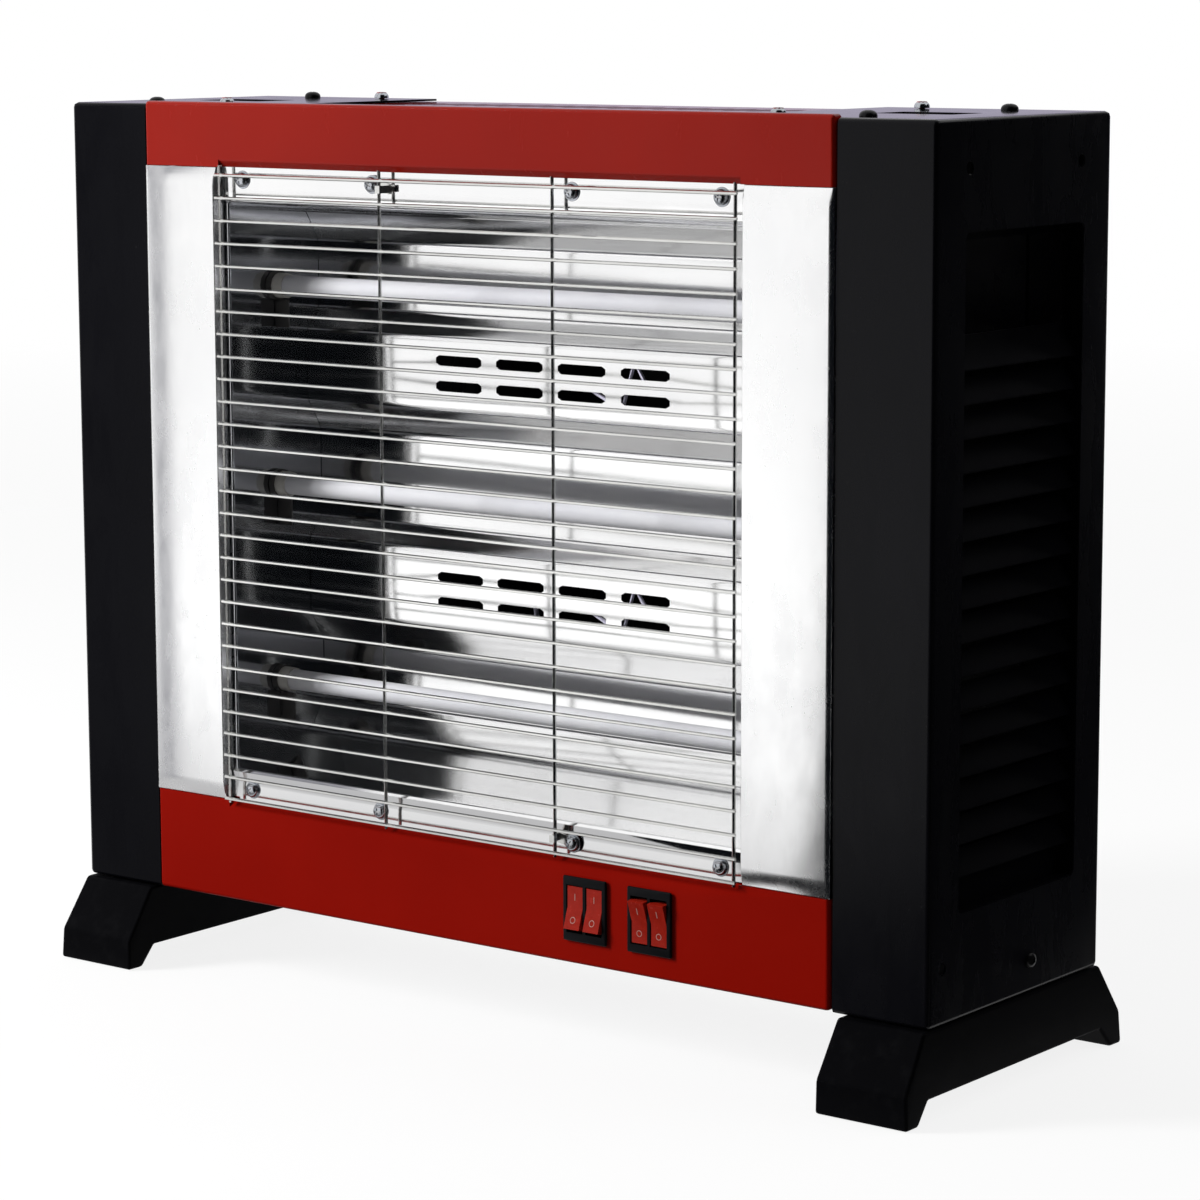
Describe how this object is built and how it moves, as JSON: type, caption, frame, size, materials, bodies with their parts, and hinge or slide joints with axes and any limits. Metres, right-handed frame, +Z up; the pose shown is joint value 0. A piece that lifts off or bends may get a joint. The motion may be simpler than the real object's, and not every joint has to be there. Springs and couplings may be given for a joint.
{
  "type": "quartz heater",
  "caption": "Free-standing radiant heater: quartz tubes before a folded reflector, wire guard, vented cabinet on moulded feet, and double rocker switches",
  "frame": {"origin": "centre of the footprint, on the surface that the feet stand on", "axes": "+Z up, -Y towards the front with the wire guard, +X towards the end beside the switches"},
  "size_m": [0.5254, 0.187, 0.4461],
  "materials": {
    "black_paint": "satin",
    "black_foot": "satin",
    "red_paint": "gloss",
    "bright_trim": "bright",
    "guard_steel": "bright",
    "polished_steel": "mirror polished",
    "plain_steel": "plain",
    "bracket_steel": "dull",
    "frosted_quartz": "frosted",
    "heating_wire": "dull",
    "ceramic": "matte",
    "black_plastic": "satin",
    "red_lens": "gloss",
    "screw_black": "satin",
    "rubber": "matte",
    "white_nylon": "matte",
    "lilac_wire": "satin"
  },
  "bodies": {
    "cabinet": {"left_end_cover": "black_paint", "right_end_cover": "black_paint", "left_louvre_panel": "black_paint", "right_louvre_panel": "black_paint", "back_panel": "black_paint", "left_foot": "black_foot", "right_foot": "black_foot", "top_front_panel": "red_paint", "bottom_front_panel": "red_paint", "top_cover": "red_paint", "left_trim": "bright_trim", "right_trim": "bright_trim", "wire_guard": "guard_steel", "upper_guard_clip": "guard_steel", "lower_guard_clip": "guard_steel", "reflector": "polished_steel", "left_chassis_wall": "polished_steel", "right_chassis_wall": "polished_steel", "upper_crossbar": "plain_steel", "lower_crossbar": "plain_steel", "base_plate": "plain_steel", "top_quartz_tube": "frosted_quartz", "middle_quartz_tube": "frosted_quartz", "bottom_quartz_tube": "frosted_quartz", "top_heating_coil": "heating_wire", "middle_heating_coil": "heating_wire", "bottom_heating_coil": "heating_wire", "left_top_tube_cap": "ceramic", "left_middle_tube_cap": "ceramic", "left_bottom_tube_cap": "ceramic", "right_top_tube_cap": "ceramic", "right_middle_tube_cap": "ceramic", "right_bottom_tube_cap": "ceramic", "left_top_tube_bracket": "bracket_steel", "left_middle_tube_bracket": "bracket_steel", "left_bottom_tube_bracket": "bracket_steel", "right_top_tube_bracket": "bracket_steel", "right_middle_tube_bracket": "bracket_steel", "right_bottom_tube_bracket": "bracket_steel", "left_switch_housing": "black_plastic", "right_switch_housing": "black_plastic", "left_front_top_screw": "screw_black", "left_rear_top_screw": "screw_black", "right_front_top_screw": "screw_black", "right_rear_top_screw": "screw_black", "left_side_screw": "screw_black", "right_side_screw": "screw_black", "cord_gland": "rubber", "thermal_cutout": "plain_steel", "terminal_block": "white_nylon", "tip_over_switch": "black_plastic", "upper_tube_wire": "lilac_wire", "lower_tube_wire": "lilac_wire", "common_wire": "lilac_wire", "switch_wire": "lilac_wire"},
    "left_switch_left_rocker_body": {"left_switch_left_rocker": "red_lens"},
    "left_switch_right_rocker_body": {"left_switch_right_rocker": "red_lens"},
    "right_switch_left_rocker_body": {"right_switch_left_rocker": "red_lens"},
    "right_switch_right_rocker_body": {"right_switch_right_rocker": "red_lens"}
  },
  "joints": [
    {"name": "left_switch_left_rocker_hinge", "type": "hinge", "parent": "cabinet", "child": "left_switch_left_rocker_body", "pos_m": [0.06445, -0.073, 0.0692], "axis": [1, 0, 0], "range_deg": [0, 18]},
    {"name": "left_switch_right_rocker_hinge", "type": "hinge", "parent": "cabinet", "child": "left_switch_right_rocker_body", "pos_m": [0.07575, -0.073, 0.0692], "axis": [1, 0, 0], "range_deg": [0, 18]},
    {"name": "right_switch_left_rocker_hinge", "type": "hinge", "parent": "cabinet", "child": "right_switch_left_rocker_body", "pos_m": [0.10235, -0.073, 0.0692], "axis": [1, 0, 0], "range_deg": [-18, 0]},
    {"name": "right_switch_right_rocker_hinge", "type": "hinge", "parent": "cabinet", "child": "right_switch_right_rocker_body", "pos_m": [0.11365, -0.073, 0.0692], "axis": [1, 0, 0], "range_deg": [-18, 0]}
  ]
}
